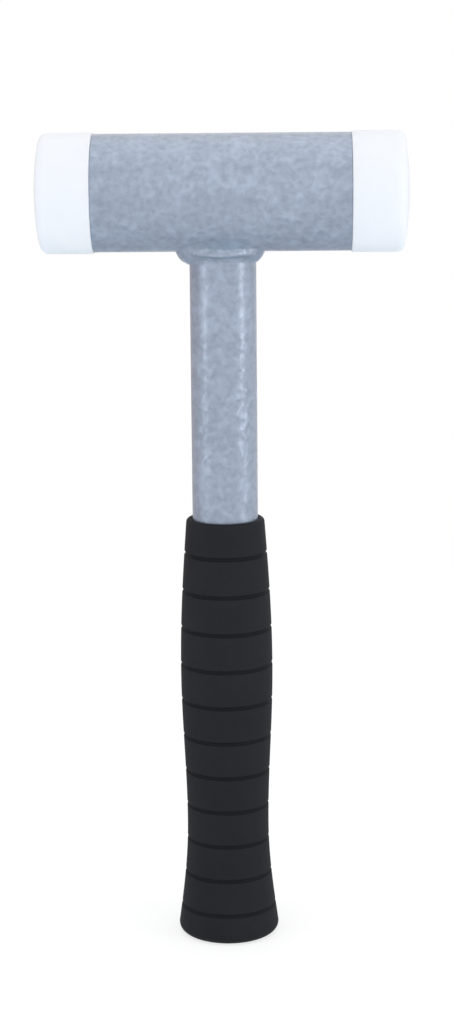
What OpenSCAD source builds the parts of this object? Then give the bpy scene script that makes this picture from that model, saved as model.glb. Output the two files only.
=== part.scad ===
// Dead blow hammer: a welded tube hammer with two nylon striking faces, a loose steel shot charge
// sealed in its head, and a ribbed rubber grip. It stands upright on the flat foot of the grip:
// X runs along the head, Z up the handle, and the origin is the middle of the foot. Millimetres.

/* [Head] */
// Outer diameter of the steel head tube
head_d = 44.5; // [38:0.5:60]
// Length of the steel head tube
head_len = 97.5; // [80:0.5:140]
// Wall thickness of the head tube
head_wall = 3; // [2.5:0.25:5]
// Bevel on the outer edges of the head tube's ends
head_bevel = 0.6; // [0.2:0.1:1.2]
// Height of the head's axis above the foot of the grip
head_height = 293.9; // [250:0.1:380]

/* [Striking faces] */
// How far a nylon face reaches past the outside of the head tube, all round
face_lip = 0.55; // [0.1:0.05:2]
// How far a nylon face stands out of the end of the head tube
face_len = 22; // [14:0.5:30]
// Radius of the crowned front of a face
face_crown_r = 110; // [70:5:300]
// Radius of the rounded front edge of a face
face_edge_r = 3.5; // [1:0.25:6]
// Bevel on the back edge of a face
face_bevel = 0.4; // [0.1:0.1:1]
// Length of the spigot that a face carries inside the head tube
spigot_len = 14; // [12:0.5:20]
// Bevel on the inner end of a spigot
spigot_bevel = 1; // [0.5:0.25:2]
// Clearance round a spigot in the bore of the head tube
spigot_gap = 0.1; // [0.05:0.05:0.3]

/* [Retaining rings] */
// Wire diameter of the open ring that locks a spigot in the head tube
ring_wire_d = 2; // [1.2:0.1:2.4]
// Distance from the end of the head tube to the middle of a ring
ring_setback = 8; // [5:0.5:9]
// Angle left open between the two ends of a ring
ring_opening = 24; // [10:1:60]
// Clearance round the ring wire in its grooves
ring_gap = 0.1; // [0.05:0.05:0.3]

/* [Shot chamber] */
// Thickness of the steel baffle that shields each spigot from the shot
baffle_thick = 2; // [1:0.25:4]
// Clearance round a baffle in the bore
baffle_gap = 0.1; // [0.05:0.05:0.3]
// Diameter of one steel shot ball
shot_d = 6; // [4.5:0.25:8]
// Clearance between neighbouring shot balls
shot_gap = 0.15; // [0.1:0.05:0.5]
// Clearance between the shot charge and the bore it lies in
shot_wall_gap = 0.3; // [0.2:0.05:0.6]
// Number of layers of shot, counted up from the bottom of the bore
shot_layers = 4; // [1:1:5]
// Least free run of the charge towards each baffle
shot_run = 10; // [3:0.5:12]

/* [Handle] */
// Outer diameter of the steel handle tube
handle_d = 25.4; // [20:0.2:30]
// Wall thickness of the handle tube
handle_wall = 2; // [1.5:0.25:3]

/* [Weld] */
// Width of the weld bead along the head tube
weld_head_leg = 4.3; // [2:0.1:5]
// Height of the weld bead on the handle tube
weld_handle_leg = 4.7; // [2:0.1:6]
// How far the face of the bead bulges past a straight fillet
weld_bulge = 0.4; // [0.1:0.1:1]
// Root gap between the bead, the head tube and the handle tube
weld_gap = 0.1; // [0.05:0.05:0.3]

/* [Grip] */
// Length of the rubber grip
grip_len = 168.5; // [140:0.5:200]
// Rubber thickness over the handle tube at the mouth of the grip
grip_mouth_wall = 2.55; // [2:0.05:4]
// Rubber thickness over the handle tube at the palm swell
grip_swell_wall = 5.3; // [3:0.1:8]
// Rubber thickness over the handle tube at the waist
grip_waist_wall = 3.4; // [2:0.1:6]
// Rubber thickness over the handle tube at the foot
grip_foot_wall = 7.15; // [4:0.05:10]
// Height of the palm swell above the foot
grip_swell_height = 108.5; // [90:0.5:125]
// Height of the waist above the foot
grip_waist_height = 45.5; // [30:0.5:60]
// Radius of the rounded edge round the foot
grip_foot_edge_r = 3.4; // [1:0.1:5]
// Radius of the rounded edge round the mouth
grip_mouth_edge_r = 1.5; // [0.5:0.1:2]
// Thickness of the closed end of the grip
grip_floor = 6; // [4:0.5:10]
// Clearance between the grip and the handle tube
grip_gap = 0.1; // [0.05:0.05:0.3]

/* [Grip grooves] */
// Number of grooves
groove_count = 11; // [4:1:14]
// Distance from the mouth to the first groove
groove_setback = 13.5; // [8:0.5:25]
// Height of the last groove above the foot
groove_margin = 11.6; // [8:0.1:20]
// Share by which the spacing is wider than even at the mouth and narrower at the foot
groove_taper = 0.041; // [0:0.001:0.2]
// Width of a groove
groove_w = 1.6; // [0.8:0.1:3]

/* [Handle plug] */
// Thickness of the flange that closes the lower end of the handle tube
plug_flange = 2; // [1:0.25:4]
// Length of the plug inside the handle tube
plug_len = 12; // [6:0.5:20]
// Wall thickness of the hollow plug
plug_wall = 2; // [1:0.25:4]
// Clearance between the plug and the bore of the handle tube
plug_gap = 0.1; // [0.05:0.05:0.3]
// Bevel on the leading edge of the plug
plug_bevel = 1; // [0.5:0.25:2]

/* [Hidden] */
$fn = 96;

// Sides of the wide circle that crowns a face
crown_sides = 480;
// Sides of a shot ball
shot_sides = 48;
// Cutters reach this far past what they cut
cut_over = 1;

paint_silver = [0.66, 0.70, 0.76];
nylon_white = [0.95, 0.96, 0.98];
rubber_black = [0.16, 0.16, 0.17];
bare_steel = [0.55, 0.55, 0.56];
plug_grey = [0.30, 0.30, 0.31];

head_r = head_d / 2;
head_end = head_len / 2;
bore_r = head_r - head_wall;

// Nylon faces
face_r = head_r + face_lip;
spigot_r = bore_r - spigot_gap;
crown_centre = face_len - face_crown_r;
edge_centre_r = face_r - face_edge_r;
edge_centre_out = crown_centre + sqrt(pow(face_crown_r - face_edge_r, 2) - pow(edge_centre_r, 2));
crown_edge_r = edge_centre_r * face_crown_r / (face_crown_r - face_edge_r);

// Retaining rings and their grooves
ring_wire_r = ring_wire_d / 2;
ring_groove_r = ring_wire_r + ring_gap;

// Shot chamber between the two baffles
chamber_end = head_end - spigot_len - baffle_thick;
shot_r = shot_d / 2;
shot_pitch = shot_d + shot_gap;
shot_layer_step = shot_pitch * sin(60);
shot_reach = bore_r - shot_r - shot_wall_gap;
shot_columns = floor((2 * (chamber_end - shot_run) - shot_d) / shot_pitch) + 1;
shot_rows_side = ceil(shot_reach / shot_pitch);

// Handle, plug and weld
handle_r = handle_d / 2;
handle_bore_r = handle_r - handle_wall;
handle_foot = grip_floor + plug_flange;
weld_sections = 72;
weld_seat_steps = 3;
weld_face_steps = 6;
weld_root_r = (handle_r + weld_gap) / cos(180 / weld_sections);

// Grip outline
grip_mouth_r = handle_r + grip_mouth_wall;
grip_swell_r = handle_r + grip_swell_wall;
grip_waist_r = handle_r + grip_waist_wall;
grip_foot_r = handle_r + grip_foot_wall;
grip_bore_r = handle_r + grip_gap;
grip_side_top = grip_len - grip_mouth_edge_r;
grip_step = 3.5;
groove_top = grip_len - groove_setback;
groove_span = groove_top - groove_margin;

// Places an upright shape along the head, its foot at the middle of the head and its top towards +X
module along_head() {
    translate([0, 0, head_height])
        rotate([0, 90, 0])
            children();
}

// Round section of the head tube that pieces welded to it are cut to
module head_cutter() {
    along_head()
        cylinder(h = head_len, r = head_r + weld_gap, center = true);
}

// Half section of a ring groove, at the given distance along the head
module ring_groove(out) {
    translate([bore_r, out])
        circle(r = ring_groove_r);
}

// Steel tube of the head, bevelled at its ends, with a groove for each retaining ring
module head_tube() {
    color(paint_silver)
        along_head()
            rotate_extrude()
                difference() {
                    polygon([
                        [bore_r, -head_end],
                        [head_r - head_bevel, -head_end],
                        [head_r, -head_end + head_bevel],
                        [head_r, head_end - head_bevel],
                        [head_r - head_bevel, head_end],
                        [bore_r, head_end]
                    ]);
                    ring_groove(head_end - ring_setback);
                    ring_groove(-head_end + ring_setback);
                }
}

// Half section of a nylon face and its spigot, with the end of the head tube at zero
module face_section() {
    union() {
        intersection() {
            translate([0, crown_centre])
                circle(r = face_crown_r, $fn = crown_sides);
            square([crown_edge_r, face_len]);
        }
        translate([edge_centre_r, edge_centre_out])
            circle(r = face_edge_r);
        polygon([
            [0, 0],
            [face_r - face_bevel, 0],
            [face_r, face_bevel],
            [face_r, edge_centre_out],
            [0, edge_centre_out]
        ]);
        difference() {
            polygon([
                [0, -spigot_len],
                [spigot_r - spigot_bevel, -spigot_len],
                [spigot_r, -spigot_len + spigot_bevel],
                [spigot_r, 0],
                [0, 0]
            ]);
            ring_groove(-ring_setback);
        }
    }
}

// Nylon face with its spigot, on the +X end of the head
module face() {
    color(nylon_white)
        along_head()
            translate([0, 0, head_end])
                rotate_extrude()
                    face_section();
}

// Open wire ring that sits half in the head tube and half in the spigot, on the +X end
module ring() {
    color(bare_steel)
        along_head()
            translate([0, 0, head_end - ring_setback])
                rotate([0, 0, ring_opening / 2])
                    rotate_extrude(angle = 360 - ring_opening)
                        translate([bore_r, 0])
                            circle(r = ring_wire_r);
}

// Steel disc against the inner end of the spigot, on the +X end
module baffle() {
    color(bare_steel)
        along_head()
            translate([0, 0, chamber_end])
                cylinder(h = baffle_thick, r = bore_r - baffle_gap);
}

module right_face() {
    face();
}

module left_face() {
    mirror([1, 0, 0])
        face();
}

module right_ring() {
    ring();
}

module left_ring() {
    mirror([1, 0, 0])
        ring();
}

module right_baffle() {
    baffle();
}

module left_baffle() {
    mirror([1, 0, 0])
        baffle();
}

// Steel balls in straight rows along the head, layer on layer up from the bottom of the bore
module shot_charge() {
    color(bare_steel)
        translate([0, 0, head_height])
            for (layer = [0 : shot_layers - 1])
                for (row = [-shot_rows_side : shot_rows_side]) {
                    across = (row + (layer % 2) / 2) * shot_pitch;
                    up = layer * shot_layer_step - shot_reach;
                    if (norm([across, up]) <= shot_reach)
                        for (column = [0 : shot_columns - 1])
                            translate([(column - (shot_columns - 1) / 2) * shot_pitch, across, up])
                                sphere(r = shot_r, $fn = shot_sides);
                }
}

// Steel tube of the handle, cut at its top to sit on the head tube
module handle_tube() {
    color(paint_silver)
        difference() {
            translate([0, 0, handle_foot])
                cylinder(h = head_height - handle_foot, r = handle_r);
            translate([0, 0, handle_foot - cut_over])
                cylinder(h = head_height - handle_foot + 2 * cut_over, r = handle_bore_r);
            head_cutter();
        }
}

// Height of the weld's seat under the head tube, at a radius and an angle round the handle
function weld_seat(r, angle) = head_height - sqrt(pow(head_r + weld_gap, 2) - pow(r * sin(angle), 2));

// Radius of the bead's toe on the head tube, drawn in where the tube curves up and away
function weld_toe_r(angle) =
    let (tilt = asin((handle_r + weld_head_leg / 2) * sin(angle) / head_r))
    handle_r + weld_head_leg * cos(tilt);

// Point at a radius, a height and an angle round the handle
function round_handle(r, z, angle) = [r * cos(angle), r * sin(angle), z];

// Outline of the bead at one angle: out along the head tube, then down its rounded face to the handle tube
function weld_section(angle) =
    let (
        toe_r = weld_toe_r(angle),
        head_toe = [toe_r, weld_seat(toe_r, angle)],
        handle_toe = [weld_root_r, weld_seat(weld_root_r, angle) - weld_handle_leg]
    )
    concat(
        [for (step = [0 : weld_seat_steps - 1])
            let (r = weld_root_r + (toe_r - weld_root_r) * step / weld_seat_steps)
            round_handle(r, weld_seat(r, angle), angle)],
        [for (step = [0 : weld_face_steps])
            let (
                t = step / weld_face_steps,
                swell = weld_bulge * sin(180 * t),
                straight = head_toe * (1 - t) + handle_toe * t
            )
            round_handle(straight[0] + swell, straight[1] - swell, angle)]
    );

// Weld bead that follows the saddle where the handle tube meets the head tube
module weld_bead() {
    side = weld_seat_steps + weld_face_steps + 1;
    points = [for (section = [0 : weld_sections - 1]) each weld_section(section * 360 / weld_sections)];
    faces = [
        for (section = [0 : weld_sections - 1])
            for (point = [0 : side - 1])
                let (
                    here = section * side,
                    next = ((section + 1) % weld_sections) * side,
                    after = (point + 1) % side
                )
                each [
                    [here + point, here + after, next + after],
                    [here + point, next + after, next + point]
                ]
    ];
    color(paint_silver)
        polyhedron(points = points, faces = faces);
}

// Plug that closes the lower end of the handle tube and spreads its load on the closed end of the grip
module handle_plug() {
    plug_r = handle_bore_r - plug_gap;
    color(plug_grey)
        translate([0, 0, grip_floor])
            rotate_extrude()
                polygon([
                    [0, 0],
                    [handle_r, 0],
                    [handle_r, plug_flange],
                    [plug_r, plug_flange],
                    [plug_r, plug_flange + plug_len - plug_bevel],
                    [plug_r - plug_bevel, plug_flange + plug_len],
                    [plug_r - plug_wall, plug_flange + plug_len],
                    [plug_r - plug_wall, plug_flange],
                    [0, plug_flange]
                ]);
}

// Radius of the smooth outline of the grip: flared below the waist, swelling to the palm, slim at the mouth
function grip_r(z) =
    z < grip_waist_height
        ? let (share = (grip_waist_height - z) / (grip_waist_height - grip_foot_edge_r))
            grip_waist_r + (grip_foot_r - grip_waist_r) * (1 - cos(90 * share))
        : z < grip_swell_height
            ? let (share = (z - grip_waist_height) / (grip_swell_height - grip_waist_height))
                grip_waist_r + (grip_swell_r - grip_waist_r) * (1 - cos(180 * share)) / 2
            : let (share = (grip_side_top - z) / (grip_side_top - grip_swell_height))
                grip_mouth_r + (grip_swell_r - grip_mouth_r) * sin(90 * share);

// Height of a groove, counted down from the mouth
function groove_z(index) =
    let (share = index / (groove_count - 1))
    groove_top - groove_span * (share + groove_taper * share * (1 - share));

// Half section of the grip: the rounded foot, the smooth outline, the rounded mouth, grooves and bore
module grip_section() {
    side_len = grip_side_top - grip_foot_edge_r;
    side_steps = ceil(side_len / grip_step);
    difference() {
        union() {
            square([grip_foot_r - grip_foot_edge_r, 2 * grip_foot_edge_r]);
            translate([grip_foot_r - grip_foot_edge_r, grip_foot_edge_r])
                circle(r = grip_foot_edge_r);
            polygon(concat(
                [[0, grip_foot_edge_r]],
                [for (step = [0 : side_steps])
                    let (z = grip_foot_edge_r + side_len * step / side_steps)
                    [grip_r(z), z]],
                [[0, grip_side_top]]
            ));
            translate([grip_mouth_r - grip_mouth_edge_r, grip_side_top])
                circle(r = grip_mouth_edge_r);
            translate([0, grip_len - 2 * grip_mouth_edge_r])
                square([grip_mouth_r - grip_mouth_edge_r, 2 * grip_mouth_edge_r]);
        }
        translate([0, grip_floor])
            square([grip_bore_r, grip_len]);
        for (index = [0 : groove_count - 1])
            let (z = groove_z(index))
            translate([grip_r(z), z])
                circle(r = groove_w / 2);
    }
}

// Rubber grip, closed at its foot
module grip() {
    color(rubber_black)
        rotate_extrude()
            grip_section();
}

head_tube();
handle_tube();
weld_bead();
left_face();
right_face();
left_ring();
right_ring();
left_baffle();
right_baffle();
shot_charge();
handle_plug();
grip();
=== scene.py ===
"""Dead blow hammer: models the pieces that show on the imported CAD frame, and dresses and lights them.

Lengths are in metres, in the frame of the CAD model. X runs along the head, Z runs up the handle, and the
origin is the middle of the foot of the grip.
"""

import logging
import math
from collections.abc import Callable, Sequence
from dataclasses import dataclass, field, fields
from enum import Enum

import bpy
from mathutils import Matrix, Quaternion, Vector


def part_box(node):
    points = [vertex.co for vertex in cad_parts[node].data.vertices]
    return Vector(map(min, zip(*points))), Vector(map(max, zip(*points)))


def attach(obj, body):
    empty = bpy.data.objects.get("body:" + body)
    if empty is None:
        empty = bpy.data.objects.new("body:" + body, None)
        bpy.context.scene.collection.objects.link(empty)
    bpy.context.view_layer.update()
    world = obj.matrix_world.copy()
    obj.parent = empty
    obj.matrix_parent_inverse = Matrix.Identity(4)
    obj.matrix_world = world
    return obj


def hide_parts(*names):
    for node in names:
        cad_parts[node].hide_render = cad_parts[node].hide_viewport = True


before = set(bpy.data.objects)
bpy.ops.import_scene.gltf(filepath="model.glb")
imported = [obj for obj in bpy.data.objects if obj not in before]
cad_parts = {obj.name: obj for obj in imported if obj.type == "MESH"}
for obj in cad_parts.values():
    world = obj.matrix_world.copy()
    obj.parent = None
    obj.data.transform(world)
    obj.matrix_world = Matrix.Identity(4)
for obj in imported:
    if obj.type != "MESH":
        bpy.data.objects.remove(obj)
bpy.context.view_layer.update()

Colour = tuple[float, float, float]
Place = tuple[float, float, float]
Span = tuple[float, float]
Outline = list[tuple[float, float]]
Socket = bpy.types.NodeSocket

LOG = logging.getLogger("hammer")
MM = 0.001
HAMMER_BODY = "hammer"
SHOT_BODY = "shot"
# Vertex attribute of how deep in a groove a point lies, which the rubber turns into painted shade
GROOVE_MARK = "groove"
WHITE: Colour = (1.0, 1.0, 1.0)
# Points of a new mesh that lie closer than this become one
MERGE_GAP = 0.002 * MM
# Most values of a noise lie in this range, about this middle
NOISE_CORE: Span = (0.3, 0.7)
NOISE_MIDDLE: Colour = (0.5, 0.5, 0.5)
# Sockets of a Mix node in its colour mode
COLOUR_A, COLOUR_B, COLOUR_OUT = 6, 7, 2


def arc(centre: Span, radius: float, start: float, end: float, steps: int) -> Outline:
    """Works out points along a circular arc of an outline.

    Args:
        centre: Middle of the arc, as radius and height.
        radius: Radius of the arc.
        start: First angle in degrees, from the outward direction.
        end: Last angle in degrees.
        steps: Number of straight steps.

    Returns:
        The points, both ends included.
    """
    angles = [math.radians(start + (end - start) * step / steps) for step in range(steps + 1)]
    return [(centre[0] + radius * math.cos(a), centre[1] + radius * math.sin(a)) for a in angles]


def smooth_step(low: float, high: float, value: float) -> float:
    """Eases from 0 at low to 1 at high.

    Args:
        low: Value at which the result leaves 0.
        high: Value at which the result reaches 1.
        value: Value to ease.

    Returns:
        A share from 0 to 1.
    """
    share = min(1.0, max(0.0, (value - low) / (high - low)))
    return share * share * (3.0 - 2.0 * share)


def opaque(colour: Colour) -> tuple[float, float, float, float]:
    """Gives a colour its full alpha."""
    return (*colour, 1.0)


@dataclass(frozen=True)
class Grain:
    """A cloudy noise: the size of a cloud in metres, the octaves of finer noise and their strength."""

    size: float
    detail: float = 2.0
    roughness: float = 0.5


@dataclass(frozen=True)
class Relief:
    """A relief: its depth in metres, and the share of it that shows."""

    depth: float
    share: float = 1.0


@dataclass(frozen=True)
class SteelLook:
    """Colours and roughness of a bare steel, and the stretch of its marks along each axis."""

    dark: Colour
    light: Colour
    roughness: float
    stretch: Place = (1.0, 1.0, 1.0)


class SteelKind(Enum):
    """The bare steels inside the head: oiled wire, ground plate and dull shot."""

    WIRE = SteelLook((0.16, 0.16, 0.17), (0.27, 0.27, 0.28), 0.38)
    PLATE = SteelLook((0.44, 0.44, 0.45), (0.58, 0.58, 0.59), 0.34, (1.0, 0.06, 1.0))
    SHOT = SteelLook((0.40, 0.40, 0.41), (0.62, 0.62, 0.63), 0.28)


class Side(Enum):
    """An end of the head, by the word that its nodes start with."""

    LEFT = "left"
    RIGHT = "right"


class Nodes:
    """Short calls that add nodes to a node tree and join them."""

    def __init__(self, tree: bpy.types.NodeTree) -> None:
        """Works on that tree."""
        self.tree = tree

    @classmethod
    def emptied(cls, owner: bpy.types.Material | bpy.types.World) -> "Nodes":
        """Empties the node tree of a material or a world.

        Args:
            owner: Material or world.

        Returns:
            The short calls for its tree.
        """
        owner.use_nodes = True
        owner.node_tree.nodes.clear()
        return cls(owner.node_tree)

    def node(self, kind: str, settings: dict | None = None, inputs: dict | None = None) -> bpy.types.Node:
        """Adds a node.

        Args:
            kind: Blender's name of the node type.
            settings: Properties of the node.
            inputs: Values or sockets for the node's inputs, by name or by number.

        Returns:
            The new node.
        """
        made = self.tree.nodes.new(kind)
        for name, value in (settings or {}).items():
            setattr(made, name, value)
        for name, value in (inputs or {}).items():
            self.feed(made.inputs[name], value)
        return made

    def feed(self, socket: Socket, value: object) -> None:
        """Joins an input to another node, or sets its value.

        Args:
            socket: Input to feed.
            value: Output of another node, or a plain value.
        """
        if isinstance(value, Socket):
            self.tree.links.new(value, socket)
        else:
            socket.default_value = value

    def math(self, operation: str, first: object, second: object = 0.0) -> Socket:
        """Adds a sum on two numbers and returns its result."""
        return self.node("ShaderNodeMath", {"operation": operation}, {0: first, 1: second}).outputs[0]

    def vector(self, operation: str, inputs: dict, output: str = "Vector") -> Socket:
        """Adds a sum on vectors and returns its result."""
        return self.node("ShaderNodeVectorMath", {"operation": operation}, inputs).outputs[output]

    def spread(self, value: Socket, low: float, high: float, source: Span = (0.0, 1.0),
               eased: bool = False) -> Socket:
        """Maps a value from its source range to the range from low to high.

        Args:
            value: Value to map.
            low: Result at the start of the source range.
            high: Result at the end of the source range.
            source: Range of the value.
            eased: Leaves and reaches both ends softly.

        Returns:
            The mapped value.
        """
        settings = {"interpolation_type": "SMOOTHSTEP" if eased else "LINEAR"}
        inputs = {"Value": value, "From Min": source[0], "From Max": source[1],
                  "To Min": low, "To Max": high}
        return self.node("ShaderNodeMapRange", settings, inputs).outputs["Result"]

    def blend(self, mode: str, share: object, first: object, second: object) -> Socket:
        """Adds a mix of two colours.

        Args:
            mode: Blender's name of the way to mix them.
            share: Share of the second colour, from 0 to 1.
            first: First colour.
            second: Second colour.

        Returns:
            The mixed colour.
        """
        settings = {"data_type": "RGBA", "blend_type": mode}
        made = self.node("ShaderNodeMix", settings, {0: share, COLOUR_A: first, COLOUR_B: second})
        return made.outputs[COLOUR_OUT]

    def add(self, first: bpy.types.Node, second: bpy.types.Node) -> bpy.types.Node:
        """Adds up the light of two shaders and returns their sum."""
        return self.node("ShaderNodeAddShader", inputs={0: first.outputs[0], 1: second.outputs[0]})

    def mix(self, share: Socket, first: bpy.types.Node, second: bpy.types.Node) -> bpy.types.Node:
        """Blends from the first shader to the second one by a share, and returns the blend."""
        inputs = {0: share, 1: first.outputs[0], 2: second.outputs[0]}
        return self.node("ShaderNodeMixShader", inputs=inputs)

    def shown_rays(self) -> Socket:
        """Adds a switch for the rays that show a surface to the eye, straight or in a reflection.

        Returns:
            1 for camera, glossy and transmission rays, and 0 for all others.
        """
        rays = self.node("ShaderNodeLightPath").outputs
        shiny = self.math("MAXIMUM", rays["Is Glossy Ray"], rays["Is Transmission Ray"])
        return self.math("MAXIMUM", rays["Is Camera Ray"], shiny)


class Shader(Nodes):
    """A material under construction on one Principled surface."""

    def __init__(self, name: str) -> None:
        """Starts a material.

        Args:
            name: Name of the material.
        """
        self.material = bpy.data.materials.new(name)
        self.material.use_nodes = True
        super().__init__(self.material.node_tree)
        self.surface = self.tree.nodes["Principled BSDF"]
        self.place = self.node("ShaderNodeTexCoord").outputs["Object"]

    def set(self, **values: object) -> None:
        """Feeds inputs of the surface.

        Args:
            **values: Values or sockets, under the inputs' names in lower case with underscores for spaces.
        """
        for name, value in values.items():
            title = next(i.name for i in self.surface.inputs if i.name.lower().replace(" ", "_") == name)
            self.feed(self.surface.inputs[title], value)

    def noise(self, grain: Grain, place: Socket | None = None, output: str = "Fac") -> Socket:
        """Adds cloudy noise.

        Args:
            grain: Size and make-up of the noise.
            place: Coordinates, or the object's own.
            output: Name of the result: Fac for one value, Color for three.

        Returns:
            The noise, about 0 to 1.
        """
        inputs = {"Vector": place or self.place, "Scale": 1.0 / grain.size,
                  "Detail": grain.detail, "Roughness": grain.roughness}
        return self.node("ShaderNodeTexNoise", inputs=inputs).outputs[output]

    def band(self, level: Socket, foot: Span, top: Span, away: Socket, reach: Span) -> Socket:
        """Marks a soft-edged band of heights that fades with distance.

        Args:
            level: Height.
            foot: Heights between which the band sets in.
            top: Heights between which it ends.
            away: Distance.
            reach: Distances between which it fades.

        Returns:
            A share from 0 outside to 1 inside.
        """
        rising = self.spread(level, 0.0, 1.0, foot, eased=True)
        both = self.math("MULTIPLY", rising, self.spread(level, 1.0, 0.0, top, eased=True))
        return self.math("MULTIPLY", both, self.spread(away, 1.0, 0.0, reach, eased=True))

    def ramp(self, value: Socket, colours: Sequence[Colour],
             places: Sequence[float] = NOISE_CORE) -> Socket:
        """Adds a colour ramp.

        Args:
            value: Place along the ramp, from 0 to 1.
            colours: Colours along the ramp.
            places: Place of each colour, in order.

        Returns:
            The colour.
        """
        made = self.node("ShaderNodeValToRGB", inputs={"Fac": value})
        stops = made.color_ramp.elements
        while len(stops) < len(colours):
            stops.new(places[len(stops)])
        for stop, place, colour in zip(stops, places, colours):
            stop.position = place
            stop.color = opaque(colour)
        return made.outputs["Color"]

    def tint(self, colour: Socket, *strengths: Socket) -> Socket:
        """Multiplies a colour by one strength after another.

        Args:
            colour: Colour to tint.
            *strengths: Grey levels or colours.

        Returns:
            The tinted colour.
        """
        for strength in strengths:
            colour = self.blend("MULTIPLY", 1.0, colour, strength)
        return colour

    def bump(self, height: Socket, relief: Relief, under: Socket | None = None,
             calm: Socket | None = None) -> Socket:
        """Adds a relief.

        Args:
            height: Height of the relief, from 0 to 1.
            relief: Its depth and strength.
            under: Normal of a relief that this one lies on.
            calm: Share of the strength that is left from place to place.

        Returns:
            The normal.
        """
        share = relief.share if calm is None else self.math("MULTIPLY", calm, relief.share)
        inputs = {"Height": height, "Distance": relief.depth, "Strength": share}
        if under is not None:
            inputs["Normal"] = under
        return self.node("ShaderNodeBump", inputs=inputs).outputs["Normal"]


@dataclass(frozen=True)
class HammeredPaint:
    """Silver-blue hammered paint: a relief of soft craters with broken rims, over a faint mottle of flake.

    It is darker in the crease above the roll of the weld and in the undercut below it, as painted shade,
    and flows out smoother on the handle just below the weld and just above the grip. The heights of these
    places count from weld_level, those of calm_low from grip_top, and their reach from the surface of the
    handle.
    """

    weld_level: float
    handle_radius: float
    grip_top: float
    name: str = "hammered_paint"
    light: Colour = (0.345, 0.403, 0.505)
    base: Colour = (0.318, 0.372, 0.469)
    dark: Colour = (0.286, 0.337, 0.427)
    shade_places: tuple[float, float, float] = (0.34, 0.49, 0.66)
    crater: float = 4.2 * MM
    crater_softness: float = 0.35
    rim_edges: Span = (0.2, 0.75)
    rim_breaks: Grain = Grain(6.3 * MM, 1.0)
    break_edges: Span = (0.40, 0.58)
    least_rim: float = 0.15
    # Rims are lighter partly from the paint's own flake and partly as a painted highlight on the raised
    # rims
    rim_flake_and_highlight_tint: Span = (0.945, 1.075)
    rim_relief: Relief = Relief(0.30 * MM)
    stray: Grain = Grain(7.0 * MM)
    wander: float = 1.4 * MM
    mottle: Grain = Grain(2.4 * MM)
    mottle_relief: Relief = Relief(0.12 * MM, 0.8)
    swell: Grain = Grain(5.04 * MM, 1.0)
    swell_relief: Relief = Relief(0.65 * MM, 0.8)
    cloud: Grain = Grain(12.0 * MM, 3.0)
    cloud_tint: Span = (0.96, 1.04)
    flake: Grain = Grain(0.4 * MM, 1.0)
    flake_tint: Span = (0.985, 1.015)
    metallic: float = 0.35
    roughness: Span = (0.40, 0.30)
    coat: float = 0.35
    coat_roughness: float = 0.12
    # Colour of the painted shade in the weld's crease and undercut, placed by the crease and undercut spans
    # below
    painted_shade_colour: Colour = (0.65, 0.72, 0.755)
    ragged: Grain = Grain(4.2 * MM)
    ragged_edge: float = 0.4 * MM
    crease_foot: Span = (1.2 * MM, 2.3 * MM)
    crease_top: Span = (6.0 * MM, 11.0 * MM)
    crease_reach: Span = (0.6 * MM, 3.9 * MM)
    undercut_foot: Span = (-3.4 * MM, -2.2 * MM)
    undercut_top: Span = (-1.3 * MM, -0.7 * MM)
    undercut_reach: Span = (0.5 * MM, 1.5 * MM)
    undercut_share: float = 0.7
    calm_foot: Span = (-50.0 * MM, -22.0 * MM)
    calm_top: Span = (3.0 * MM, 6.0 * MM)
    calm_reach: Span = (3.0 * MM, 5.0 * MM)
    calm_low: Span = (13.0 * MM, 29.0 * MM)
    calm_share: float = 0.3

    def material(self) -> bpy.types.Material:
        """Builds the paint.

        Returns:
            The material.
        """
        sheet = Shader(self.name)
        level, away = self.weld_places(sheet)
        stray = sheet.vector("SUBTRACT", {0: sheet.noise(self.stray, output="Color"), 1: NOISE_MIDDLE})
        drift = sheet.vector("SCALE", {0: stray, "Scale": 2.0 * self.wander})
        wandering = sheet.vector("ADD", {0: sheet.place, 1: drift})
        inputs = {"Vector": wandering, "Scale": 1.0 / self.crater, "Smoothness": self.crater_softness}
        cells = sheet.node("ShaderNodeTexVoronoi", {"feature": "SMOOTH_F1"}, inputs).outputs["Distance"]
        whole = sheet.spread(cells, 0.0, 1.0, self.rim_edges, eased=True)
        gaps = sheet.noise(self.rim_breaks)
        breaks = sheet.spread(gaps, self.least_rim, 1.0, self.break_edges, eased=True)
        rim = sheet.math("MULTIPLY", whole, breaks)
        mottle = sheet.noise(self.mottle, wandering)
        tints = (
            # Lighter rims: partly the paint's flake, partly a painted highlight
            sheet.spread(rim, *self.rim_flake_and_highlight_tint),
            sheet.spread(sheet.noise(self.cloud), *self.cloud_tint, NOISE_CORE),
            sheet.spread(sheet.noise(self.flake), *self.flake_tint, NOISE_CORE),
            # Painted shade: darkens the colour in the crease above the weld's roll and in the undercut
            # below it
            sheet.ramp(self.painted_crease_shade(sheet, level, away), (WHITE, self.painted_shade_colour), (0.0, 1.0)),
        )
        clean = sheet.ramp(mottle, (self.dark, self.base, self.light), self.shade_places)
        calm = sheet.spread(self.smooth_places(sheet, level, away), 1.0, self.calm_share)
        grain = sheet.bump(mottle, self.mottle_relief, calm=calm)
        rolling = sheet.bump(sheet.noise(self.swell), self.swell_relief, grain, calm)
        sheet.set(
            base_color=sheet.tint(clean, *tints),
            metallic=self.metallic,
            roughness=sheet.spread(mottle, *self.roughness, NOISE_CORE),
            coat_weight=self.coat,
            coat_roughness=self.coat_roughness,
            normal=sheet.bump(rim, self.rim_relief, rolling, calm),
        )
        return sheet.material

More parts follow.
